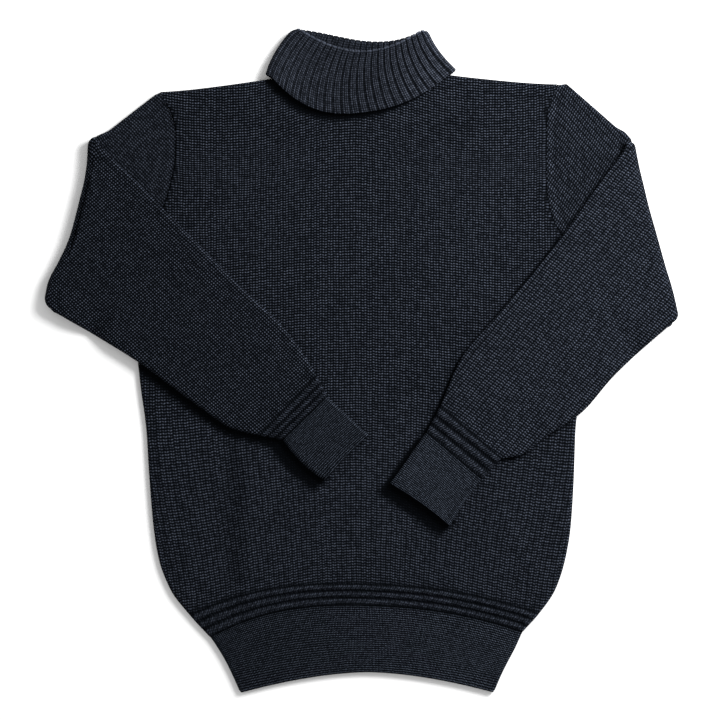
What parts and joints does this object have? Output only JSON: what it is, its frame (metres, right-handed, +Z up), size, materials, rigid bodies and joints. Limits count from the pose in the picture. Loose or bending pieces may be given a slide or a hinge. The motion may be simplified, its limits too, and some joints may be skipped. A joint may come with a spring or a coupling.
{
  "type": "turtleneck sweater",
  "caption": "Heavy knitted roll-neck sweater laid flat on its back, sleeves folded in across the front, with ribbed collar, fine cuffs and hem band.",
  "frame": {"origin": "middle of the bounding box, on the surface that the sweater lies on", "axes": "+Z up from the surface through the front, +Y from the hem to the collar, +X to the right as seen from above"},
  "size_m": [0.7294, 0.7652, 0.0191],
  "materials": {
    "body_knit": "dark navy half-cardigan rib in matt wool",
    "band_knit": "fine tight rib in the same matt wool",
    "collar_rib": "wide soft rib in the same matt wool"
  },
  "bodies": {
    "root": {"back": "body_knit", "front": "body_knit", "hem_band": "band_knit", "sleeve_left": "body_knit", "sleeve_right": "body_knit", "cuff_left": "band_knit", "cuff_right": "band_knit", "collar": "collar_rib"}
  },
  "joints": []
}
